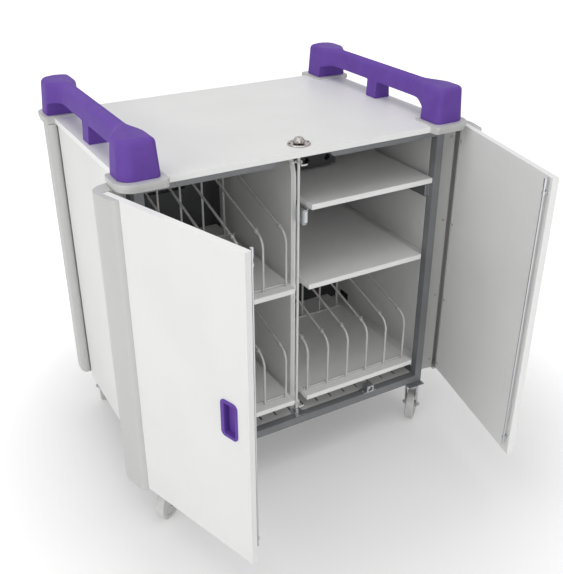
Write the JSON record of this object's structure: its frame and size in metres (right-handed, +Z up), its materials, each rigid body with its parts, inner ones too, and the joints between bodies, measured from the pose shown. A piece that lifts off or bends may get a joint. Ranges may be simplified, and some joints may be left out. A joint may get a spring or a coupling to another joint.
{
  "type": "laptop charging cart",
  "caption": "Wheeled cabinet with a flat worktop, corner grab handles, wrap-round doors, wire laptop racks, a pull-out shelf and a cable bay behind a partition.",
  "frame": {"origin": "On the floor, under the middle of the cart's overall width and of its overall depth with the front doors standing open.", "axes": "+X to the cart's right as seen from the front, +Y to its back, +Z up. The worktop faces +Z."},
  "size_m": [1.1206, 1.1399, 1.146],
  "materials": {
    "black_plastic": "black moulding",
    "chrome_lock": "polished chrome plate",
    "coated_wire": "light grey powder-coated rod",
    "collar_plastic": "light grey moulding",
    "dark_sheet": "charcoal powder coat",
    "frame_steel": "dark grey powder coat",
    "handle_plastic": "purple fine-textured moulding",
    "profile_metal": "light grey powder-coated extrusion",
    "red_plastic": "red translucent rocker",
    "wheel_plastic": "pale grey non-marking tread",
    "white_board": "white melamine-faced board",
    "white_steel": "white powder coat",
    "zinc_steel": "bright zinc plate"
  },
  "bodies": {
    "cart": {"front_frame": "frame_steel", "rear_frame": "frame_steel", "side_rails": "frame_steel", "worktop": "white_board", "side_panels": "white_board", "corner_collars": "collar_plastic", "handle_left": "handle_plastic", "handle_right": "handle_plastic", "centre_divider": "white_board", "mid_shelves": "white_board", "low_shelves": "white_board", "shelf_brackets": "white_steel", "rack_mid_left": "coated_wire", "rack_low_left": "coated_wire", "rack_low_right": "coated_wire", "rear_partition": "dark_sheet", "adapter_trays": "white_steel", "base_plate": "white_steel", "runner_channels": "zinc_steel", "lock_escutcheon": "chrome_lock", "rod_guide": "zinc_steel", "door_catches": "zinc_steel", "pivot_pins": "zinc_steel", "caster_plates": "zinc_steel", "power_unit": "dark_sheet", "power_strips": "black_plastic", "power_inlet": "black_plastic"},
    "runner_middles": {"runner_slides": "zinc_steel"},
    "pull_out": {"pull_out_shelf": "white_board", "shelf_slides": "zinc_steel"},
    "lock": {"lock_knob": "chrome_lock", "lock_rod": "coated_wire"},
    "door_left": {"door_panel_left": "white_board", "door_profile_left": "profile_metal", "door_caps_left": "collar_plastic", "keeper_bar_left": "zinc_steel", "door_grip_left": "handle_plastic"},
    "door_right": {"door_panel_right": "white_board", "door_profile_right": "profile_metal", "door_caps_right": "collar_plastic", "keeper_bar_right": "zinc_steel", "door_grip_right": "handle_plastic"},
    "back_door_left": {"rear_door_left": "white_board", "rear_profile_left": "profile_metal"},
    "back_door_right": {"rear_door_right": "white_board", "rear_profile_right": "profile_metal"},
    "back_lock_left": {"rear_lock_left": "chrome_lock"},
    "back_lock_right": {"rear_lock_right": "chrome_lock"},
    "switch": {"power_switch": "red_plastic"},
    "fork_fl": {"caster_fork_fl": "zinc_steel"},
    "caster_wheel_fl": {"wheel_fl": "wheel_plastic"},
    "fork_fr": {"caster_fork_fr": "zinc_steel"},
    "caster_wheel_fr": {"wheel_fr": "wheel_plastic"},
    "fork_rl": {"caster_fork_rl": "zinc_steel"},
    "caster_wheel_rl": {"wheel_rl": "wheel_plastic"},
    "fork_rr": {"caster_fork_rr": "zinc_steel"},
    "caster_wheel_rr": {"wheel_rr": "wheel_plastic"},
    "brake_rl": {"brake_pedal_rl": "black_plastic"},
    "brake_rr": {"brake_pedal_rr": "black_plastic"}
  },
  "joints": [
    {"name": "left_door_swing", "type": "hinge", "parent": "cart", "child": "door_left", "pos_m": [-0.493, -0.07445, 0.601], "axis": [0, 0, -1], "range_deg": [-72, 28]},
    {"name": "right_door_swing", "type": "hinge", "parent": "cart", "child": "door_right", "pos_m": [0.493, -0.07445, 0.601], "axis": [0, 0, 1], "range_deg": [-76.8, 23.2]},
    {"name": "back_left_door_swing", "type": "hinge", "parent": "cart", "child": "back_door_left", "pos_m": [-0.493, 0.46955, 0.601], "axis": [0, 0, 1], "range_deg": [0, 100]},
    {"name": "back_right_door_swing", "type": "hinge", "parent": "cart", "child": "back_door_right", "pos_m": [0.493, 0.46955, 0.601], "axis": [0, 0, -1], "range_deg": [0, 100]},
    {"name": "back_left_lock_turn", "type": "hinge", "parent": "back_door_left", "child": "back_lock_left", "pos_m": [-0.06, 0.51285, 0.979], "axis": [0, 1, 0], "range_deg": [0, 90]},
    {"name": "back_right_lock_turn", "type": "hinge", "parent": "back_door_right", "child": "back_lock_right", "pos_m": [0.06, 0.51285, 0.979], "axis": [0, -1, 0], "range_deg": [0, 90]},
    {"name": "top_lock_turn", "type": "hinge", "parent": "cart", "child": "lock", "pos_m": [0, -0.08545, 1.04], "axis": [0, 0, 1], "range_deg": [0, 34]},
    {"name": "shelf_pull_out", "type": "slide", "parent": "cart", "child": "pull_out", "axis": [0, -1, 0], "range_m": [0, 0.275]},
    {"name": "runner_travel", "type": "slide", "parent": "cart", "child": "runner_middles", "axis": [0, -1, 0], "range_m": [0, 0.1375]},
    {"name": "swivel_fl", "type": "hinge", "parent": "cart", "child": "fork_fl", "pos_m": [-0.434, -0.10845, 0.14], "axis": [0, 0, 1], "continuous": true},
    {"name": "roll_fl", "type": "hinge", "parent": "fork_fl", "child": "caster_wheel_fl", "pos_m": [-0.45134, -0.12199, 0.052], "axis": [0.6157, -0.788, 0], "continuous": true},
    {"name": "swivel_fr", "type": "hinge", "parent": "cart", "child": "fork_fr", "pos_m": [0.434, -0.10845, 0.14], "axis": [0, 0, 1], "continuous": true},
    {"name": "roll_fr", "type": "hinge", "parent": "fork_fr", "child": "caster_wheel_fr", "pos_m": [0.45035, -0.09373, 0.052], "axis": [-0.6691, 0.7431, 0], "continuous": true},
    {"name": "swivel_rl", "type": "hinge", "parent": "cart", "child": "fork_rl", "pos_m": [-0.434, 0.50355, 0.14], "axis": [0, 0, 1], "continuous": true},
    {"name": "roll_rl", "type": "hinge", "parent": "fork_rl", "child": "caster_wheel_rl", "pos_m": [-0.42648, 0.52423, 0.052], "axis": [-0.9397, 0.342, 0], "continuous": true},
    {"name": "swivel_rr", "type": "hinge", "parent": "cart", "child": "fork_rr", "pos_m": [0.434, 0.50355, 0.14], "axis": [0, 0, 1], "continuous": true},
    {"name": "roll_rr", "type": "hinge", "parent": "fork_rr", "child": "caster_wheel_rr", "pos_m": [0.42648, 0.52423, 0.052], "axis": [-0.9397, -0.342, 0], "continuous": true},
    {"name": "brake_rl_press", "type": "hinge", "parent": "fork_rl", "child": "brake_rl", "pos_m": [-0.42921, 0.51671, 0.121], "axis": [-0.9397, 0.342, 0], "range_deg": [0, 8]},
    {"name": "brake_rr_press", "type": "hinge", "parent": "fork_rr", "child": "brake_rr", "pos_m": [0.42921, 0.51671, 0.121], "axis": [-0.9397, -0.342, 0], "range_deg": [0, 8]},
    {"name": "power_switch_rock", "type": "hinge", "parent": "cart", "child": "switch", "pos_m": [0.376, 0.43955, 0.894], "axis": [1, 0, 0], "range_deg": [-6, 6]}
  ],
  "couplings": [
    {"joint": "runner_travel", "follows": "shelf_pull_out", "ratio": 0.5}
  ]
}
